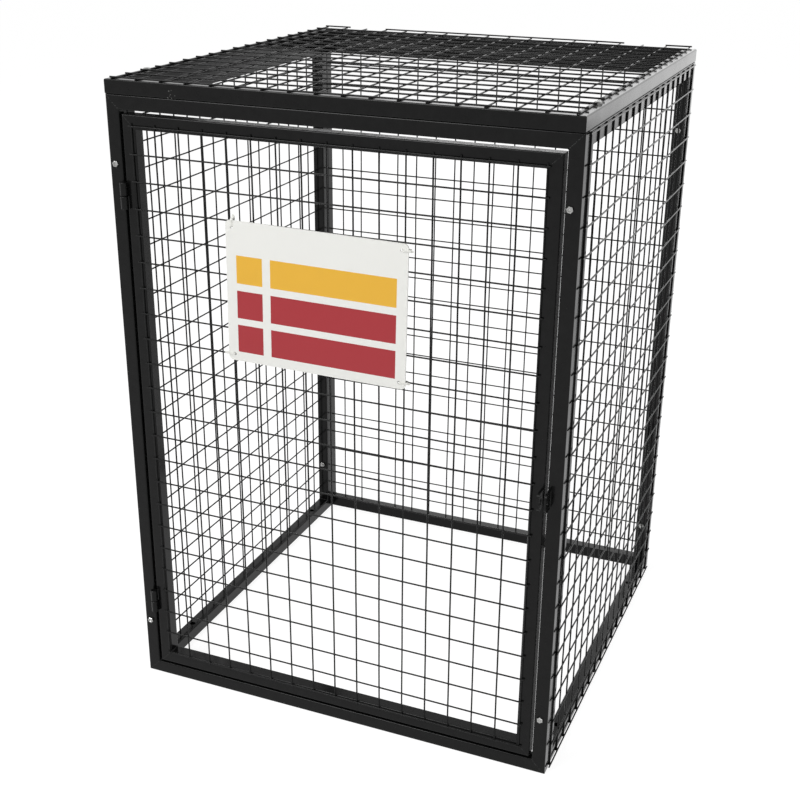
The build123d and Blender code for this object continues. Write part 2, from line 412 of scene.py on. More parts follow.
def grow(tree, **values):
    """Run a tree once and return its result as a plain mesh"""
    helper = bpy.data.objects.new("helper", bpy.data.meshes.new("helper"))
    bpy.context.scene.collection.objects.link(helper)
    modifier = helper.modifiers.new("grow", "NODES")
    modifier.node_group = tree
    for item in tree.interface.items_tree:
        key = item.name.lower().replace(" ", "_")
        if item.item_type == "SOCKET" and item.in_out == "INPUT":
            modifier[item.identifier] = values[key]
    shown = helper.evaluated_get(bpy.context.evaluated_depsgraph_get())
    made = bpy.data.meshes.new_from_object(shown)
    empty = helper.data
    bpy.data.objects.remove(helper)
    bpy.data.meshes.remove(empty)
    return made

# %% [markdown]
# One run of a tree makes one row of wires or bolts. Dozens of small objects would be hard to follow, so
# the rows that belong together are joined into a single piece, which rides on the cage or on the door and
# is given a name of its own.


# %% Helper that joins meshes into a piece
def join_meshes(name, meshes, body):
    """Join plain meshes of one material into a single piece that rides on a body"""
    # A mesh that comes from a primitive also has an empty slot, so the filled one is looked for
    paint = next(material for material in meshes[0].materials if material)
    shape = bmesh.new()
    for mesh in meshes:
        shape.from_mesh(mesh)
        bpy.data.meshes.remove(mesh)
    for face in shape.faces:
        face.material_index = 0
    joined = bpy.data.meshes.new(name)
    shape.to_mesh(joined)
    shape.free()
    joined.materials.append(paint)
    piece = bpy.data.objects.new(name, joined)
    bpy.context.scene.collection.objects.link(piece)
    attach(piece, body)
    joined.calc_loop_triangles()
    print(name, len(joined.loop_triangles), "triangles")
    return piece


# %% [markdown]
# Most of the trees use the same few steps: a row of points, copies on points, a straight path, and a
# solid made by carrying a section along a path. Each step is one node, so each gets a helper of a few
# lines.


# %% Helpers for steps that the trees share
def row_of_points(tree, count, step, start=(0, 0, 0)):
    """A number of points, each one step further than the last"""
    inputs = {"Count": count, "Start Location": start, "Offset": step}
    return add_node(tree, "GeometryNodeMeshLine", {"mode": "OFFSET"}, inputs).outputs[0]


def copies(tree, points, shape, more=None):
    """A copy of a shape on every point, turned or scaled where more inputs say so"""
    inputs = {"Points": points, "Instance": shape, **(more or {})}
    return add_node(tree, "GeometryNodeInstanceOnPoints", inputs=inputs).outputs[0]


def straight(tree, end, start=(0, 0, 0)):
    """A straight path"""
    inputs = {"Start": start, "End": end}
    return add_node(tree, "GeometryNodeCurvePrimitiveLine", inputs=inputs).outputs[0]


def divided(tree, path, count):
    """A path with a number of points on it"""
    return add_node(tree, "GeometryNodeResampleCurve", inputs={"Curve": path, "Count": count}).outputs[0]


def ring(tree, sides, radius):
    """A round section"""
    inputs = {"Resolution": sides, "Radius": radius}
    return add_node(tree, "GeometryNodeCurvePrimitiveCircle", {"mode": "RADIUS"}, inputs).outputs[0]


def swept(tree, path, section):
    """A solid with closed ends: a section carried along a path"""
    inputs = {"Curve": path, "Profile Curve": section, "Fill Caps": True}
    return add_node(tree, "GeometryNodeCurveToMesh", inputs=inputs).outputs[0]


# %% [markdown]
# A welded mesh is two layers of straight wires. A flat sheet with a pattern of holes could stand for it
# from afar, but here the round sides of the wires show, so each wire is real. Cold drawn wire is never
# quite straight once it is welded, so a slow noise bends the whole sheet by a few tenths of a millimetre.
# Wires of both layers read the same noise at their own place, and so they stay in touch. Eight sides are
# enough for a wire this thin. The CAD wires are square bars of 3 mm. A round wire of 3.6 mm covers about
# as much of what lies behind it.

# %% Tree for a row of parallel wires
WIRE = 3.0 * MM
ROUND_WIRE = 3.6 * MM
WIRE_SIDES = 8
WARP = 1.1 * MM
WARP_SCALE = 5.0
MIDDLE_OF_NOISE = (0.5, 0.5, 0.5)


def scaled(tree, vector, factor):
    """A vector made longer or shorter"""
    made = add_node(tree, "ShaderNodeVectorMath", {"operation": "SCALE"}, {0: vector, "Scale": factor})
    return made.outputs[0]


def warped(tree, shape, seed):
    """Bend geometry by a slow noise that depends only on where each point is"""
    place = add_node(tree, "GeometryNodeInputPosition").outputs[0]
    inputs = {"Vector": place, "W": seed, "Scale": WARP_SCALE, "Detail": 1.0}
    pull = add_node(tree, "ShaderNodeTexNoise", {"noise_dimensions": "4D"}, inputs).outputs["Color"]
    push = scaled(tree, vector_math(tree, "SUBTRACT", pull, MIDDLE_OF_NOISE), 2 * WARP)
    return add_node(tree, "GeometryNodeSetPosition", inputs={"Geometry": shape, "Offset": push}).outputs[0]


def wire_row_tree():
    """Parallel wires: a line of points, a straight path on each, bent and given a round section"""
    sockets = {"Count": "Int", "First Start": "Vector", "Step": "Vector", "Run": "Vector"}
    sockets.update({"Bends": "Int", "Seed": "Float", "Paint": "Material"})
    tree, given, out = new_tree("wire_row", sockets)
    starts = row_of_points(tree, given["Count"], given["Step"], given["First Start"])
    line = divided(tree, straight(tree, given["Run"]), given["Bends"])
    bent = warped(tree, realized(tree, copies(tree, starts, line)), given["Seed"])
    solid = swept(tree, bent, ring(tree, WIRE_SIDES, ROUND_WIRE / 2))
    close_tree(tree, solid, given["Paint"], out)
    return tree


wire_row = wire_row_tree()
print("wire tree has", len(wire_row.nodes), "nodes")

# %% [markdown]
# Where two wires cross, a press has squeezed and melted them together, and a small collar of steel stands
# out on both sides. The wires could be blended into each other, but at hundreds of crossings that is slow
# and hard to get right. A squashed ball of eighty faces looks the same. The balls stand on a grid of
# points, a line of points repeated along a second line, and their sizes differ a little by a fixed seed.

# %% Tree for the welds where wires cross
COLLAR_GROWTH = (0.85, 1.12)

# A Random Value node has a set of sockets for each kind of number, so those for floats are picked by place
RANDOM_LOW = 2
RANDOM_HIGH = 3
RANDOM_FLOAT = 1


def varied(tree, low, high, seed=0):
    """A random number between two limits, another one for every copy"""
    inputs = {RANDOM_LOW: low, RANDOM_HIGH: high, "Seed": seed}
    return add_node(tree, "FunctionNodeRandomValue", {"data_type": "FLOAT"}, inputs).outputs[RANDOM_FLOAT]


def shaded(tree, shape, smooth):
    """Smooth or flat shading"""
    inputs = {0: shape, "Shade Smooth": smooth}
    return add_node(tree, "GeometryNodeSetShadeSmooth", inputs=inputs).outputs[0]


def smooth_ball(tree):
    """A ball of eighty faces with a radius of one"""
    ball = add_node(tree, "GeometryNodeMeshIcoSphere", inputs={"Radius": 1.0, "Subdivisions": 2}).outputs[0]
    return shaded(tree, ball, True)


def weld_grid_tree():
    """Squashed balls on a grid of crossings"""
    sockets = {"Count Across": "Int", "Count Up": "Int", "First": "Vector", "Step Across": "Vector"}
    sockets.update({"Step Up": "Vector", "Size": "Vector", "Seed": "Float", "Paint": "Material"})
    tree, given, out = new_tree("weld_grid", sockets)
    across = row_of_points(tree, given["Count Across"], given["Step Across"], given["First"])
    up = row_of_points(tree, given["Count Up"], given["Step Up"])
    points = warped(tree, realized(tree, copies(tree, across, up)), given["Seed"])
    size = scaled(tree, given["Size"], varied(tree, *COLLAR_GROWTH))
    welds = copies(tree, points, smooth_ball(tree), {"Scale": size})
    close_tree(tree, welds, given["Paint"], out)
    return tree


weld_grid = weld_grid_tree()
print("weld tree has", len(weld_grid.nodes), "nodes")

# %% [markdown]
# The place of every wire could be typed in, but the CAD meshes already say where each sheet lies and how
# large it is. A panel is read from their boxes: the first wire stands one tip in from the edge, and the
# rest divide what is left. The same class serves every sheet, told only which way is across and which way
# is up.

# %% Where the wires of a panel lie
ACROSS = Vector((1, 0, 0))
DEEP = Vector((0, 1, 0))
UP = Vector((0, 0, 1))
WELD_BITE = 0.5 * MM


def box_of(*node_names):
    """Lowest and highest corner of several CAD nodes together"""
    corners = [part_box(node_name) for node_name in node_names]
    low = Vector([min(pair[0][axis] for pair in corners) for axis in range(3)])
    high = Vector([max(pair[1][axis] for pair in corners) for axis in range(3)])
    return low, high


class Panel:
    """The wires of one sheet: columns run up on the frame, and rows run across on the columns"""

    def __init__(self, node_names, across, up, cells_across, cells_up, tip_across, tip_up, far_tip_up):
        low, high = box_of(*node_names)
        size = high - low
        self.out = across.cross(up)
        heading = across + up + self.out
        self.corner = Vector([low[axis] if heading[axis] > 0 else high[axis] for axis in range(3)])
        self.width = abs(size.dot(across))
        self.height = abs(size.dot(up))
        self.across = across
        self.up = up
        self.columns = cells_across + 1
        self.rows = cells_up + 1
        self.tip_across = tip_across
        self.tip_up = tip_up
        self.step_across = across * ((self.width - 2 * tip_across) / cells_across)
        self.step_up = up * ((self.height - tip_up - far_tip_up) / cells_up)
        self.column_level = self.out * (WIRE / 2)
        self.row_level = self.out * (WIRE * 3 / 2 - WELD_BITE)


DOOR_CELLS = (16, 22)
DOOR_TIP = 6 * MM
door_panel = Panel(["door_mesh"], ACROSS, UP, *DOOR_CELLS, DOOR_TIP, DOOR_TIP, DOOR_TIP)
door_steps = (door_panel.step_across, door_panel.step_up)
print("door cell", [round(step.length / MM, 1) for step in door_steps], "mm")

# %% [markdown]
# A sheet is its columns, its rows and a weld at every crossing. One tree could make all three, but the
# last row of the lid is broken, so rows and columns are grown apart, and the number of rows is asked for.

# %% Wires and welds of a panel
COLLAR_WIDE = 2.3 * MM
COLLAR_FLAT = 1.6 * MM


def panel_meshes(panel, rows, seed):
    """Columns, a number of rows and the welds between them"""
    first_column = panel.corner + panel.across * panel.tip_across
    first_row = panel.corner + panel.up * panel.tip_up
    between_layers = (panel.column_level + panel.row_level) / 2
    columns = grow(
        wire_row,
        count=panel.columns,
        first_start=first_column + panel.column_level,
        step=panel.step_across,
        run=panel.up * panel.height,
        bends=2 * panel.rows,
        seed=seed,
        paint=wire_paint,
    )
    across_wires = grow(
        wire_row,
        count=rows,
        first_start=first_row + panel.row_level,
        step=panel.step_up,
        run=panel.across * panel.width,
        bends=2 * panel.columns,
        seed=seed,
        paint=wire_paint,
    )
    flat = Vector([abs(value) for value in panel.out])
    welds = grow(
        weld_grid,
        count_across=panel.columns,
        count_up=rows,
        first=first_column + panel.up * panel.tip_up + between_layers,
        step_across=panel.step_across,
        step_up=panel.step_up,
        size=Vector((1, 1, 1)) * COLLAR_WIDE - flat * (COLLAR_WIDE - COLLAR_FLAT),
        seed=seed,
        paint=wire_paint,
    )
    return [columns, across_wires, welds]


collar = [round(2 * radius / MM, 1) for radius in (COLLAR_WIDE, COLLAR_FLAT)]
print("weld collars", collar[0], "mm wide and", collar[1], "mm thick")

# %% [markdown]
# The door, both sides and the back are whole sheets. They could be one large object, but the door's has
# to swing. Each comes out as a piece of its own, which rides on its body and stands for its CAD nodes.

# %% Wires of the door, the sides and the back
SIDE_TIP = 12 * MM
EDGE_TIP = 3 * MM
BACK_TIP = 4.5 * MM
CELLS_UP = 24

# Name, the way across seen from outside, cells across, tip at each end of a row, and seed
CAGE_SIDES = (
    ("right", DEEP, 17, SIDE_TIP, 2.0),
    ("left", -DEEP, 17, SIDE_TIP, 3.0),
    ("back", -ACROSS, 18, BACK_TIP, 4.0),
)


def wire_side(name, body, node_names, panel, seed):
    """One whole side of welded mesh, which stands for its CAD nodes"""
    piece = join_meshes(name, panel_meshes(panel, panel.rows, seed), body)
    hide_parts(*node_names)
    return piece


door_wires = wire_side("door_wires", "door", ["door_mesh"], door_panel, 1.0)
for side, across, cells_across, tip_across, seed in CAGE_SIDES:
    side_nodes = [side + "_mesh_lower", side + "_mesh_upper"]
    side_panel = Panel(side_nodes, across, UP, cells_across, CELLS_UP, tip_across, EDGE_TIP, EDGE_TIP)
    wire_side(side + "_wires", "cage", side_nodes, side_panel, seed)

# %% [markdown]
# The door's sheet was welded on a little askew. At the hinges its wires are level with the frame, but
# they drop towards the padlock, and more so near the ground, and the upright wires lean a little towards
# the hinges. The tree could make them slanted, but it would need inputs that no other sheet uses. Every
# point of the finished wires is simply moved by that much.

# %% Door mesh a little askew
DOOR_DROP_LOW = 8 * MM
DOOR_DROP_HIGH = 2 * MM
DOOR_LEAN = 4 * MM


def hang_askew(piece, low, high):
    """Lower a sheet by most in its lower right corner, and lean its top to the left"""
    for point in piece.data.vertices:
        share_across = (point.co.x - low.x) / (high.x - low.x)
        share_up = (point.co.z - low.z) / (high.z - low.z)
        point.co.z -= share_across * (DOOR_DROP_LOW + (DOOR_DROP_HIGH - DOOR_DROP_LOW) * share_up)
        point.co.x -= share_up * DOOR_LEAN


hang_askew(door_wires, *box_of("door_mesh"))
print("door mesh let down by", round(DOOR_DROP_LOW / MM), "mm at its lower right corner")

# %% [markdown]
# The lid's sheet was cut a little too long, so its last wire hangs over the rear edge, and two of its
# welds have broken off with the wire between them. The whole rows come from the same kind of panel. The
# last one could be made whole and cut, but a cut leaves open ends, so it is made in three lengths that
# end where the broken ones end on the real cage.

# %% Lid mesh with its broken last wire
LID_TIP = 5.5 * MM
LID_FRONT_TIP = 3.5 * MM
LID_REAR_TIP = 1.5 * MM
LID_CELLS_ACROSS = 17
LID_CELLS_DEEP = 18
LID_SEED = 5.0
STUB = 10 * MM
BROKEN_ENDS = ((0, 1), (3, 14), (16, LID_CELLS_ACROSS))
EXTRA_BENDS = 4


def broken_row(panel):
    """The lid's last row in three lengths, each named by its first and last column"""
    row = panel.corner + panel.up * panel.tip_up + panel.step_up * (panel.rows - 1) + panel.row_level
    pitch = panel.step_across.length
    lengths = []
    for first_column, last_column in BROKEN_ENDS:
        start = 0 if first_column == 0 else panel.tip_across + first_column * pitch - WIRE / 2
        stub_end = panel.tip_across + last_column * pitch + STUB
        end = panel.width if last_column == LID_CELLS_ACROSS else stub_end
        length = grow(
            wire_row,
            count=1,
            first_start=row + panel.across * start,
            step=panel.step_up,
            run=panel.across * (end - start),
            bends=2 * (last_column - first_column) + EXTRA_BENDS,
            seed=LID_SEED,
            paint=wire_paint,
        )
        lengths.append(length)
    return lengths


lid_cells = (LID_CELLS_ACROSS, LID_CELLS_DEEP)
lid_panel = Panel(["lid_mesh"], ACROSS, DEEP, *lid_cells, LID_TIP, LID_FRONT_TIP, LID_REAR_TIP)
lid_meshes = panel_meshes(lid_panel, lid_panel.rows - 1, LID_SEED) + broken_row(lid_panel)
piece = join_meshes("lid_wires", lid_meshes, "cage")
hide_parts("lid_mesh")

# %% [markdown]
# Eight millimetre bolts hold the panels together, with a hexagon head on the outside and a nut on the
# inside. One could be shaped by hand and copied, but a tree makes either from a six sided cylinder by two
# steps that any size can follow: push a face, then scale it. The top edge of the hexagon is drawn in a
# little, as the chamfer of a real one is, and its middle is pressed in as forging leaves it.

# %% Hexagons with a dished face
HEX_SIDES = 6
HEX_ROUND = 7.1 * MM
HEX_HEIGHT = 5.3 * MM
HEX_CHAMFER = 1.0 * MM
DISH_RIM = 0.58
DISH_FLOOR = 0.75
DISH_DEPTH = 1.2 * MM


def pushed_face(tree, solid, face, rise, share):
    """Push one face of a solid out or in, scale it, and return the new solid with that face"""
    inputs = {"Mesh": solid, "Selection": face, "Offset Scale": rise}
    pushed = add_node(tree, "GeometryNodeExtrudeMesh", {"mode": "FACES"}, inputs)
    face = pushed.outputs["Top"]
    inputs = {"Geometry": pushed.outputs["Mesh"], "Selection": face, "Scale": share}
    return add_node(tree, "GeometryNodeScaleElements", {"domain": "FACE"}, inputs).outputs[0], face


def moved(tree, shape, shift, turn=(0, 0, 0)):
    """A shape turned and then shifted"""
    inputs = {"Geometry": shape, "Translation": shift, "Rotation": turn}
    return add_node(tree, "GeometryNodeTransform", inputs=inputs).outputs[0]


def prism(tree, sides, radius, height, chamfer):
    """A cylinder with a chamfered top edge, standing on the ground of its own tree, and its top face"""
    inputs = {"Vertices": sides, "Radius": radius, "Depth": height - chamfer}
    body = add_node(tree, "GeometryNodeMeshCylinder", {"fill_type": "NGON"}, inputs).outputs
    chamfered, top = pushed_face(tree, body["Mesh"], body["Top"], chamfer, 1 - chamfer / radius)
    return moved(tree, chamfered, (0, 0, (height - chamfer) / 2)), top


def hexagon(tree):
    """A bolt head: a hexagon with a dish pressed into its face"""
    solid, top = prism(tree, HEX_SIDES, HEX_ROUND, HEX_HEIGHT, HEX_CHAMFER)
    solid, top = pushed_face(tree, solid, top, 0.0, DISH_RIM)
    return pushed_face(tree, solid, top, -DISH_DEPTH, DISH_FLOOR)[0]


print("bolt heads", round(HEX_ROUND * cos(pi / HEX_SIDES) * 2 / MM, 1), "mm across the flats")

# %% [markdown]
# A thread is a fine spiral. At this size rings look the same, so it is a round bar whose radius changes
# from one point to the next. A nut has a short end of it standing out, and in a head it is so short that
# it stays hidden.

# %% End of a threaded bar
THREAD_RADIUS = 4.0 * MM
THREAD_PITCH = 1.25 * MM
THREAD_DEPTH = 0.6 * MM
THREAD_SIDES = 20


def threaded_end(tree, length):
    """A round bar from the middle of the hexagon up, whose radius alternates as a thread's does"""
    foot = HEX_HEIGHT / 2
    top = add_node(tree, "ShaderNodeCombineXYZ", inputs={"Z": math(tree, "ADD", length, foot)}).outputs[0]
    turns = math(tree, "MAXIMUM", math(tree, "DIVIDE", length, THREAD_PITCH / 2), 2)
    core = divided(tree, straight(tree, top, (0, 0, foot)), turns)
    crest = math(tree, "MODULO", add_node(tree, "GeometryNodeInputIndex").outputs[0], 2)
    depth = THREAD_DEPTH / THREAD_RADIUS
    radius = math(tree, "MULTIPLY_ADD", crest, depth, 1 - depth)
    inputs = {"Curve": core, "Radius": radius}
    waisted = add_node(tree, "GeometryNodeSetCurveRadius", inputs=inputs).outputs[0]
    return swept(tree, waisted, ring(tree, THREAD_SIDES, THREAD_RADIUS))


print("a thread of", round(2 * THREAD_RADIUS / MM), "mm turns every", THREAD_PITCH / MM, "mm")

# %% [markdown]
# The tree sets a hexagon and its thread on every point of a line. All of them could stand alike, but a
# tightened bolt stops at any angle, so each is turned by a random part of a sixth of a turn.

# %% Tree for bolt heads and nuts
SIXTH_TURN = pi / 3


def joined(tree, *parts):
    """Several shapes as one"""
    whole = add_node(tree, "GeometryNodeJoinGeometry")
    for part in parts:
        tree.links.new(part, whole.inputs[0])
    return whole.outputs[0]


def as_rotation(tree, angles):
    """Three angles as a rotation"""
    return add_node(tree, "FunctionNodeEulerToRotation", inputs={0: angles}).outputs[0]


def bolt_tree():
    """Hexagons with a length of thread, on a line of points, each turned as it happened to stop"""
    sockets = {"Count": "Int", "First": "Vector", "Step": "Vector", "Turn": "Vector"}
    sockets.update({"Thread Length": "Float", "Seed": "Int", "Paint": "Material"})
    tree, given, out = new_tree("bolt_row", sockets)
    places = row_of_points(tree, given["Count"], given["Step"], given["First"])
    bolt = shaded(tree, joined(tree, hexagon(tree), threaded_end(tree, given["Thread Length"])), False)
    spin = varied(tree, 0.0, SIXTH_TURN, given["Seed"])
    own_turn = as_rotation(tree, add_node(tree, "ShaderNodeCombineXYZ", inputs={"Z": spin}).outputs[0])
    inputs = {0: as_rotation(tree, given["Turn"]), 1: own_turn}
    turn = add_node(tree, "FunctionNodeRotateRotation", {"rotation_space": "LOCAL"}, inputs).outputs[0]
    close_tree(tree, copies(tree, places, bolt, {"Rotation": turn}), given["Paint"], out)
    return tree


bolt_row = bolt_tree()
print("bolt tree has", len(bolt_row.nodes), "nodes")

# %% [markdown]
# Pairs of bolts stand one over the other in the corner posts, near the middle of the tube. At the front
# their heads face out and their nuts face in, and at the back it is the same seen from outside. The lid
# has one bolt near the front of each side rail. One rule could place them all, but no two posts of the
# real cage are drilled quite alike, so both front pairs were measured.

# %% Places of the bolts
# Off the tube's middle, the lower and the upper height, and how far the upper one stands to the right
LEFT_FRONT_BOLTS = (0.0, 143.5 * MM, 1239 * MM, 0.0)
RIGHT_FRONT_BOLTS = (-1.5 * MM, 139 * MM, 1243 * MM, -3.5 * MM)
REAR_BOLTS = (148 * MM, 1225 * MM, 0.0)
LID_BOLT_FROM_FRONT = 135 * MM
NUT_THREAD = 7 * MM
HIDDEN_THREAD = 1 * MM
LID_BOLT_SEED = 31
FACING_FRONT = Vector((pi / 2, 0, 0))
FACING_REAR = Vector((-pi / 2, 0, 0))
FACING_UP = Vector((0, 0, 0))

front_low, front_high = box_of("front_post_left", "front_post_right")
back_high = box_of("back_post_left", "back_post_right")[1]
side_low, side_high = box_of("right_post_front", "right_post_rear")
lid_low, lid_high = box_of("lid_rail_left", "lid_rail_right")
left_post_low, left_post_high = box_of("front_post_left")
tube = left_post_high.x - left_post_low.x
print("bolts in tubes of", round(tube / MM, 1), "mm")

# %% [markdown]
# Every corner post gets two heads outside and two nuts inside. They could be pieces of their own, but
# they share a finish and never move apart, so all of them are joined into one.


# %% Bolts and nuts in the corners and the lid
def bolt_pair(x, y, low, high, lean, facing, thread, seed):
    """Two bolts or nuts, one above the other"""
    return grow(
        bolt_row,
        count=2,
        first=Vector((x, y, low)),
        step=UP * (high - low) + ACROSS * lean,
        turn=facing,
        thread_length=thread,
        seed=seed,
        paint=zinc,
    )


bolt_meshes = []
post_middles = (front_low.x + tube / 2, front_high.x - tube / 2)
for number, (x, front_bolts) in enumerate(zip(post_middles, (LEFT_FRONT_BOLTS, RIGHT_FRONT_BOLTS))):
    aside, *front_heights = front_bolts
    pairs = (
        (x + aside, front_low.y, *front_heights, FACING_FRONT, HIDDEN_THREAD),
        (x + aside, side_low.y + tube, *front_heights, FACING_REAR, NUT_THREAD),
        (x, back_high.y, *REAR_BOLTS, FACING_REAR, HIDDEN_THREAD),
        (x, side_high.y - tube, *REAR_BOLTS, FACING_FRONT, NUT_THREAD),
    )
    for kind, pair in enumerate(pairs):
        bolt_meshes.append(bolt_pair(*pair, 10 * number + kind))
lid_bolts = grow(
    bolt_row,
    count=2,
    first=Vector((lid_low.x + tube / 2, lid_low.y + LID_BOLT_FROM_FRONT, lid_high.z)),
    step=ACROSS * (lid_high.x - lid_low.x - tube),
    turn=FACING_UP,
    thread_length=HIDDEN_THREAD,
    seed=LID_BOLT_SEED,
    paint=zinc,
)
bolt_meshes.append(lid_bolts)
join_meshes("bolts_and_nuts", bolt_meshes, "cage")

# %% [markdown]
# A weld bead is a row of small solidified pools, each lapping over the last. One bar with a wavy outline
# would be lighter, but balls of uneven size catch the light as the pools do. A tree lays them along a
# line. Beads hold the hinge knuckles and the padlock eyes, a short one is left in every inner corner of
# the frames, where no grinder reached, and a ground one shows faintly in each mitre.

# %% Tree for a weld bead
POOL_GROWTH = (0.82, 1.15)
BEAD_RADIUS = 1.7 * MM
RIPPLE = 1.4 * MM


def weld_bead_tree():
    """Overlapping balls from a start to an end, each a little different"""
    sockets = {"Start": "Vector", "End": "Vector", "Ripples": "Int", "Radius": "Float"}
    sockets.update({"Seed": "Int", "Paint": "Material"})
    tree, given, out = new_tree("weld_bead", sockets)
    inputs = {"Count": given["Ripples"], "Start Location": given["Start"], "Offset": given["End"]}
    line = add_node(tree, "GeometryNodeMeshLine", {"mode": "END_POINTS"}, inputs).outputs[0]
    radius = math(tree, "MULTIPLY", given["Radius"], varied(tree, *POOL_GROWTH, given["Seed"]))
    size = add_node(tree, "ShaderNodeCombineXYZ", inputs={0: radius, 1: radius, 2: radius}).outputs[0]
    pools = copies(tree, line, smooth_ball(tree), {"Scale": size})
    close_tree(tree, pools, given["Paint"], out)
    return tree


weld_bead = weld_bead_tree()


def bead(start, end, seed, radius=BEAD_RADIUS):
    """One weld bead between two points"""
    ripples = max(2, round((end - start).length / RIPPLE))
    return grow(
        weld_bead, start=start, end=end, ripples=ripples, radius=radius, seed=seed, paint=weld_paint
    )


print("bead tree has", len(weld_bead.nodes), "nodes")

# %% [markdown]
# Where the beads go is read from the CAD nodes. A knuckle is welded along the tube beside it, and an eye
# along both of its sides.

# %% Beads on hinges and padlock eyes
BEAD_END_GAP = 2 * MM
BEAD_PROUD = BEAD_RADIUS * 0.35
EYE_BEAD = BEAD_RADIUS * 0.6
KNUCKLE_TOUCH = 0.86
knuckle_low, knuckle_high = box_of("upper_hinge_door_knuckle")
knuckle_height = knuckle_high.z - knuckle_low.z


def knuckle_bead(knuckle, toward, seed):
    """A bead between a hinge knuckle and the tube beside it, left or right of it"""
    low, high = box_of(knuckle)
    x = (low.x + high.x) / 2 + toward * (high.x - low.x) / 2 * KNUCKLE_TOUCH
    y = front_low.y - BEAD_PROUD
    bottom = low.z + BEAD_END_GAP
    # This one's pin hangs out below it, so its bead is measured from the top
    if knuckle == "upper_hinge_frame_knuckle":
        bottom = high.z - knuckle_height + BEAD_END_GAP
    top = bottom + knuckle_height - 2 * BEAD_END_GAP
    return bead(Vector((x, y, bottom)), Vector((x, y, top)), seed)


def eye_beads(eye, seed):
    """A bead along each side of a padlock eye, at its foot"""
    low, high = box_of(eye)
    made = []
    for number, x in enumerate((low.x, high.x)):
        start = Vector((x, front_low.y, low.z + BEAD_END_GAP))
        end = Vector((x, front_low.y, high.z - BEAD_END_GAP))
        made.append(bead(start, end, seed + number, EYE_BEAD))
    return made


frame_knuckles = ("upper_hinge_frame_knuckle", "lower_hinge_frame_knuckle")
door_knuckles = ("upper_hinge_door_knuckle", "lower_hinge_door_knuckle")
cage_beads = [knuckle_bead(knuckle, -1, seed) for knuckle, seed in zip(frame_knuckles, (1, 2))]
door_beads = [knuckle_bead(knuckle, 1, seed) for knuckle, seed in zip(door_knuckles, (3, 4))]
cage_beads += eye_beads("padlock_eye_frame", 5)
door_beads += eye_beads("padlock_eye_door", 7)
print("beads on the hinges and eyes", len(cage_beads) + len(door_beads))

# %% [markdown]
# A frame is welded in its four inner corners, through the thickness of the tube, and along the mitres of
# its face. There the weld is ground, and only a hair of it stands proud of the tubes.

# %% Beads in the corners and mitres of a frame
CORNER_BEAD = 1.3 * MM
SEAM_RADIUS = 1.5 * MM
SEAM_SINK = 1.25 * MM
SEAM_INSET = 3.5 * MM


def corner_beads(tubes, across, up, seed):
    """A bead in each inner corner of a frame, given its low, high, near and far tube"""
    low_rail, high_rail, near_post, far_post = tubes
    through = Vector([1 - abs(a) - abs(b) for a, b in zip(across, up)])
    left = box_of(near_post)[1].dot(across)
    right = box_of(far_post)[0].dot(across)
    bottom = box_of(low_rail)[1].dot(up)
    top = box_of(high_rail)[0].dot(up)
    low, high = box_of(low_rail, high_rail)
    near = low.dot(through) + BEAD_END_GAP
    far = high.dot(through) - BEAD_END_GAP
    made = []
    for number, (x, z) in enumerate(((left, bottom), (right, bottom), (right, top), (left, top))):
        corner = across * x + up * z
        made.append(bead(corner + through * near, corner + through * far, seed + number, CORNER_BEAD))
    return made


def mitre_seams(tubes, across, up, out, seed):
    """The ground weld along each mitre of a frame's outer face"""
    low, high = box_of(*tubes)
    face = max(low.dot(out), high.dot(out)) - SEAM_SINK
    made = []
    for number, (x, x_inward) in enumerate(((low.dot(across), 1), (high.dot(across), -1))):
        for z, z_inward in ((low.dot(up), 1), (high.dot(up), -1)):
            corner = across * x + up * z + out * face
            inward = across * x_inward + up * z_inward
            start = corner + inward * SEAM_INSET
            end = corner + inward * (tube - SEAM_INSET / 2)
            made.append(bead(start, end, seed + number, SEAM_RADIUS))
    return made


print("seams stand proud by", round((SEAM_RADIUS - SEAM_SINK) / MM, 2), "mm")

# %% [markdown]
# The frames are alike but for their names and directions. Each bead could be called for by name, but a
# short table of what differs is easier to check, and two loops do the rest.


# %% Beads of all the frames
UPRIGHT = ("_rail_bottom", "_rail_top", "_post_left", "_post_right")
SIDEWAYS = ("_rail_bottom", "_rail_top", "_post_front", "_post_rear")
LYING = ("_rail_front", "_rail_rear", "_rail_left", "_rail_right")
SWINGING = ("_rail_bottom", "_rail_top", "_stile_left", "_stile_right")

# Each row ends with the seed of its first bead
CAGE_CORNERS = (
    ("front", UPRIGHT, ACROSS, UP, 20),
    ("back", UPRIGHT, ACROSS, UP, 30),
    ("left", SIDEWAYS, DEEP, UP, 40),
    ("right", SIDEWAYS, DEEP, UP, 50),
    ("lid", LYING, ACROSS, DEEP, 60),
)
CAGE_MITRES = (
    ("front", UPRIGHT, ACROSS, UP, -DEEP, 80),
    ("back", UPRIGHT, ACROSS, UP, DEEP, 84),
    ("lid", LYING, ACROSS, DEEP, UP, 88),
)

for frame_name, endings, *directions_and_seed in CAGE_CORNERS:
    cage_beads += corner_beads([frame_name + ending for ending in endings], *directions_and_seed)
for frame_name, endings, *directions_and_seed in CAGE_MITRES:
    cage_beads += mitre_seams([frame_name + ending for ending in endings], *directions_and_seed)
door_tubes = ["door" + ending for ending in SWINGING]
door_beads += corner_beads(door_tubes, ACROSS, UP, 70)
door_beads += mitre_seams(door_tubes, ACROSS, UP, -DEEP, 92)
join_meshes("cage_weld_beads", cage_beads, "cage")
join_meshes("door_weld_beads", door_beads, "door")

# %% [markdown]
# Four white cable ties hold the sign. Each is a flat strap that goes through a corner hole, over the
# plate's edge and behind the wires, and ends in a small head with a cut tail. A strip of faces could be
# bent into the loop, but a section carried along a path keeps its thickness in the bends. The path is a
# rounded rectangle. It is drawn lying down, with the plate's depth up the page, and is then turned to its
# edge.

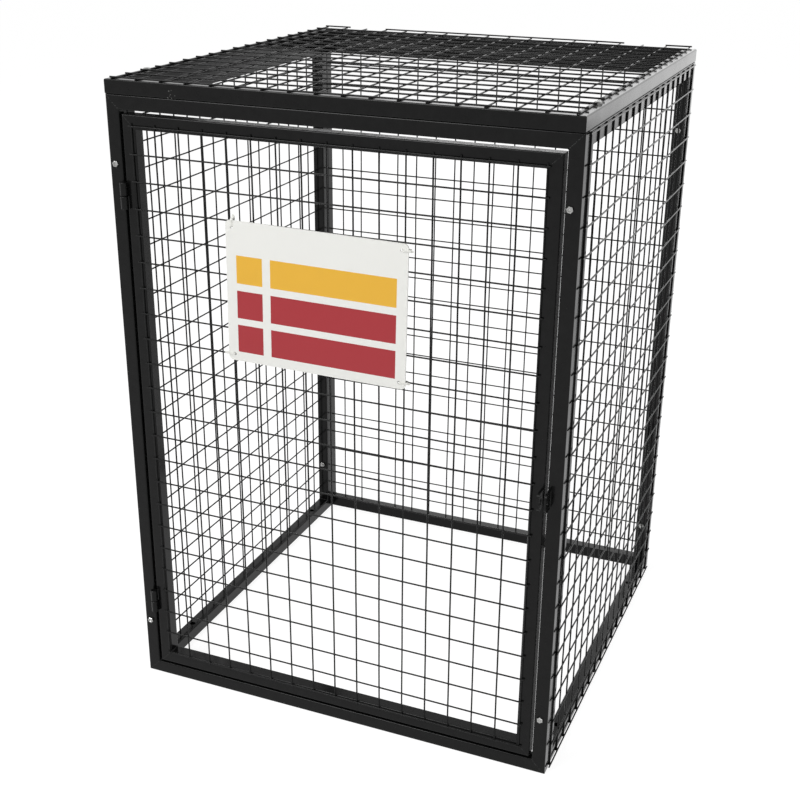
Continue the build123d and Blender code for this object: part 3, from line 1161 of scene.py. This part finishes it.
# %% Strap, head and tail of a cable tie
STRAP_WIDE = 4.4 * MM
STRAP_THICK = 1.2 * MM
STRAP_REACH = 17 * MM
LOOP_DEEP = 11.4 * MM
LOOP_BEND = 2.2 * MM
BEND_POINTS = 4
HEAD_ROUND = 4.1 * MM
HEAD_TALL = 4.6 * MM
HEAD_CHAMFER = 0.8 * MM
HEAD_SIDES = 4
TAIL_END = (STRAP_REACH + 7 * MM, 0.3 * MM, 0)


def rectangle(tree, wide, tall):
    """A rectangular path"""
    inputs = {"Width": wide, "Height": tall}
    return add_node(
        tree, "GeometryNodeCurvePrimitiveQuadrilateral", {"mode": "RECTANGLE"}, inputs
    ).outputs[0]


def strap(tree, path):
    """Give a path the flat section of the strap"""
    return swept(tree, path, rectangle(tree, STRAP_THICK, STRAP_WIDE))


def closed_loop(tree):
    """The part of the strap that goes round the plate's edge"""
    outline = rectangle(tree, STRAP_REACH, LOOP_DEEP)
    inputs = {"Curve": outline, "Count": BEND_POINTS, "Radius": LOOP_BEND}
    rounded = add_node(tree, "GeometryNodeFilletCurve", {"mode": "POLY"}, inputs).outputs[0]
    return moved(tree, strap(tree, rounded), (STRAP_REACH / 2, STRAP_THICK / 2 - LOOP_DEEP / 2, 0))


def head_and_tail(tree):
    """The square head with the cut end of the strap standing out of it"""
    tail = strap(tree, straight(tree, TAIL_END, (STRAP_REACH, 0, 0)))
    block = prism(tree, HEAD_SIDES, HEAD_ROUND, HEAD_TALL, HEAD_CHAMFER)[0]
    head = moved(tree, block, (STRAP_REACH, 0, -HEAD_TALL / 2), (0, 0, pi / 4))
    return joined(tree, tail, head)


print("strap reaches", round(STRAP_REACH / MM), "mm")

# %% [markdown]
# The tree puts strap, head and tail together and turns them to the plate's edge. On three ties the head
# sits beside the plate and on the fourth behind the wires, so its depth is an input.


# %% Tree for a cable tie
def cable_tie_tree():
    """A closed strap, its head and its tail, turned and placed at one hole"""
    sockets = {"Hole": "Vector", "Turn": "Vector", "Head Depth": "Float", "Paint": "Material"}
    tree, given, out = new_tree("cable_tie", sockets)
    depth = add_node(tree, "ShaderNodeCombineXYZ", inputs={"Y": given["Head Depth"]}).outputs[0]
    whole = joined(tree, closed_loop(tree), moved(tree, head_and_tail(tree), depth))
    placed = moved(tree, shaded(tree, whole, False), given["Hole"], as_rotation(tree, given["Turn"]))
    close_tree(tree, placed, given["Paint"], out)
    return tree


cable_tie = cable_tie_tree()
print("tie tree has", len(cable_tie.nodes), "nodes")

# %% [markdown]
# The holes are 14 mm in from the plate's edges. The upper left tie goes up over the top edge with its
# head behind the wires, and the others go sideways with their heads at the plate's side.

# %% Cable ties on the sign
HOLE_ACROSS = 186 * MM
HOLE_UP = 136 * MM
HEAD_BEHIND = -9 * MM
HEAD_AT_EDGE = -1 * MM
sign_face = Vector((sign_centre.x, sign_low.y, sign_centre.z))


def cable_tie_at(across, up, toward, head_depth):
    """A tie through one corner hole, whose strap runs toward an edge"""
    hole = sign_face + SIGN_ACROSS * across + SIGN_UP * up
    # The tree's axes: toward the edge, then out of the plate, then along the strap's width
    axes = Matrix((toward, -DEEP, toward.cross(-DEEP))).transposed()
    return grow(cable_tie, hole=hole, turn=Vector(axes.to_euler()), head_depth=head_depth, paint=nylon)


ties = [
    cable_tie_at(-HOLE_ACROSS, HOLE_UP, SIGN_UP, HEAD_BEHIND),
    cable_tie_at(HOLE_ACROSS, HOLE_UP, SIGN_ACROSS, HEAD_AT_EDGE),
    cable_tie_at(-HOLE_ACROSS, -HOLE_UP, -SIGN_ACROSS, HEAD_AT_EDGE),
    cable_tie_at(HOLE_ACROSS, -HOLE_UP, SIGN_ACROSS, HEAD_AT_EDGE),
]
join_meshes("sign_ties", ties, "door")

# %% [markdown]
# The studio is a wide white floor under a white sky. Black gloss paint shows hardly anything but
# reflections, so the lamps are chosen for what the tubes mirror: a wide soft panel low behind the cage
# gives the pale sides and the bright lid edge, and a lamp high on the left draws a thin line on every
# rounded upper edge. The camera and reflections see the floor nearly white, and it still keeps the soft
# shadow of the cage.

# %% Floor
FLOOR_SHADE = 0.9
FLOOR_SEEN_SHADE = 0.3
FLOOR_GLOW = 0.87
FLOOR_RADIUS = 60
FLOOR_SIDES = 96
FLOOR_DROP = 0.5 * MM
WHITE = (1, 1, 1, 1)


def seen_directly(tree):
    """One for camera, glossy and transmission rays, and nothing for light that only fills the room"""
    ray = add_node(tree, "ShaderNodeLightPath").outputs
    seen = math(tree, "MAXIMUM", ray["Is Camera Ray"], ray["Is Glossy Ray"])
    return math(tree, "MAXIMUM", seen, ray["Is Transmission Ray"])


def floor_paper():
    """Matt white paper that glows a little for the eye and for reflections"""
    made, tree, shader = new_material("floor_paper")
    seen = seen_directly(tree)
    shade = spread(tree, seen, FLOOR_SHADE, FLOOR_SEEN_SHADE)
    glow = math(tree, "MULTIPLY", seen, FLOOR_GLOW)
    set_inputs(tree, shader, {"Base Color": grey(tree, shade), "Roughness": 1.0, "Specular IOR Level": 0.0})
    set_inputs(tree, shader, {"Emission Color": WHITE, "Emission Strength": glow})
    return made


def add_floor():
    """A large plain disc under the cage"""
    disc = bmesh.new()
    bmesh.ops.create_circle(disc, cap_ends=True, segments=FLOOR_SIDES, radius=FLOOR_RADIUS)
    mesh = bpy.data.meshes.new("floor")
    disc.to_mesh(mesh)
    disc.free()
    mesh.materials.append(floor_paper())
    floor = bpy.data.objects.new("floor", mesh)
    floor.location.z = -FLOOR_DROP
    bpy.context.scene.collection.objects.link(floor)


add_floor()
print("floor", 2 * FLOOR_RADIUS, "m wide")

# %% [markdown]
# The sky is full white for the eye and for reflections, and weaker as a light, so that the lamps still
# draw shapes. A lamp could be a bright surface, but an area lamp gives less grain in the same time, and
# its size sets how soft a highlight is.

# %% Sky and lamps
SKY_LIGHT = 0.42
LAMP_AIM = Vector((0, 0, 0.7))
LAMPS = {
    "back_panel": {"place": Vector((0.3, 6.0, 2.1)), "wide": 6.0, "tall": 4.0, "watts": 60.0},
    "high_lamp": {"place": Vector((-1.7, -2.6, 4.3)), "wide": 2.0, "tall": 2.0, "watts": 115.0},
    "front_lamp": {"place": Vector((2.4, -4.2, 3.4)), "wide": 2.4, "tall": 2.4, "watts": 45.0},
}


def add_sky():
    """White for the camera and for reflections, weaker as a light"""
    sky = bpy.data.worlds.new("sky")
    sky.use_nodes = True
    bpy.context.scene.world = sky
    tree = sky.node_tree
    strength = spread(tree, seen_directly(tree), SKY_LIGHT, 1.0)
    set_inputs(tree, tree.nodes["Background"], {"Color": WHITE, "Strength": strength})


def add_lamp(name, place, wide, tall, watts):
    """A rectangular soft lamp aimed at the middle of the cage"""
    light = bpy.data.lights.new(name, "AREA")
    light.shape = "RECTANGLE"
    light.size = wide
    light.size_y = tall
    light.energy = watts
    lamp = bpy.data.objects.new(name, light)
    lamp.location = place
    lamp.rotation_euler = (LAMP_AIM - place).to_track_quat("-Z", "Y").to_euler()
    bpy.context.scene.collection.objects.link(lamp)


add_sky()
for lamp_name, lamp_values in LAMPS.items():
    add_lamp(lamp_name, **lamp_values)
bpy.context.scene.view_settings.view_transform = "Standard"
print("lamps", list(LAMPS))
